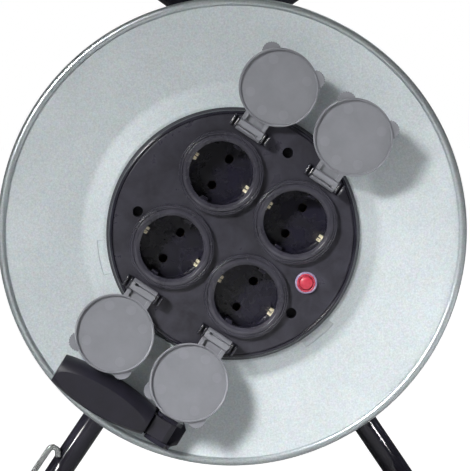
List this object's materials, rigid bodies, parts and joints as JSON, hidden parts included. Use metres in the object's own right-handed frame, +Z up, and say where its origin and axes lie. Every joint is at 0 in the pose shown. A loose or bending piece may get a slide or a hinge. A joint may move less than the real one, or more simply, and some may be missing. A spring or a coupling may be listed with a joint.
{
  "type": "empty cable drum",
  "caption": "Hand-wound steel cable drum on a bent tube stand, without cable, with a panel of lidded sockets, a reset button and a folding crank.",
  "frame": {"origin": "centre of the bounding box's base, on the floor under the drum's axle", "axes": "+Z up, +Y away from a viewer who faces the sockets, +X to that viewer's right, the axle along Y"},
  "size_m": [0.29, 0.1622, 0.418],
  "materials": {
    "galvanised_steel": "galvanised",
    "black_steel": "gloss powder coat",
    "bright_steel": "zinc plated",
    "black_plastic": "moulded",
    "grey_plastic": "moulded",
    "white_plastic": "moulded",
    "red_plastic": "moulded",
    "clear_plastic": "moulded",
    "brass": "stamped",
    "nickel_brass": "nickel plated",
    "black_rubber": "moulded"
  },
  "bodies": {
    "stand": {"stand_tube": "black_steel", "hub_plate": "black_steel", "cable_hook": "black_steel", "axle": "bright_steel", "axle_nut": "bright_steel", "carry_grip": "black_plastic", "front_foot_caps": "black_plastic", "rear_foot_sleeves": "black_plastic"},
    "drum": {"front_flange": "galvanised_steel", "rear_flange": "galvanised_steel", "barrel": "galvanised_steel", "cable_grommet": "black_rubber", "hub_bush": "white_plastic", "socket_housing": "black_plastic", "housing_cover": "black_plastic", "housing_screws": "bright_steel", "earth_contacts": "nickel_brass", "live_contacts_a": "brass", "live_contacts_b": "brass", "terminal_block": "white_plastic", "thermal_switch": "black_plastic", "switch_bezel": "clear_plastic", "crank_base": "black_plastic", "crank_pin": "bright_steel", "lid_pins": "bright_steel"},
    "lid_1": {"lid_1": "grey_plastic"},
    "lid_2": {"lid_2": "grey_plastic"},
    "lid_3": {"lid_3": "grey_plastic"},
    "lid_4": {"lid_4": "grey_plastic"},
    "reset_button": {"reset_button": "red_plastic"},
    "crank_arm": {"crank_knuckle": "black_plastic", "crank_spindle": "bright_steel"},
    "crank_grip": {"crank_grip": "black_plastic"}
  },
  "joints": [
    {"name": "drum_spin", "type": "hinge", "parent": "stand", "child": "drum", "pos_m": [0, 0, 0.2], "axis": [0, 1, 0], "continuous": true},
    {"name": "lid_1_hinge", "type": "hinge", "parent": "drum", "child": "lid_1", "pos_m": [0.0552, -0.06212, 0.23374], "axis": [0.832, 0, -0.5548], "range_deg": [0, 168]},
    {"name": "lid_2_hinge", "type": "hinge", "parent": "drum", "child": "lid_2", "pos_m": [0.00994, -0.06212, 0.26393], "axis": [0.832, 0, -0.5548], "range_deg": [0, 168]},
    {"name": "lid_3_hinge", "type": "hinge", "parent": "drum", "child": "lid_3", "pos_m": [-0.00994, -0.06212, 0.13607], "axis": [-0.832, 0, 0.5548], "range_deg": [0, 168]},
    {"name": "lid_4_hinge", "type": "hinge", "parent": "drum", "child": "lid_4", "pos_m": [-0.0552, -0.06212, 0.16626], "axis": [-0.832, 0, 0.5548], "range_deg": [0, 168]},
    {"name": "reset_press", "type": "slide", "parent": "drum", "child": "reset_button", "axis": [0, 1, 0], "range_m": [0, 0.002], "stiffness_N_per_m": 700},
    {"name": "crank_fold", "type": "hinge", "parent": "drum", "child": "crank_arm", "pos_m": [-0.0429, -0.05722, 0.0798], "axis": [0.518, 0, 0.8554], "range_deg": [0, 90]},
    {"name": "grip_spin", "type": "hinge", "parent": "crank_arm", "child": "crank_grip", "pos_m": [-0.07711, -0.05722, 0.10053], "axis": [-0.8554, 0, 0.518], "continuous": true}
  ]
}
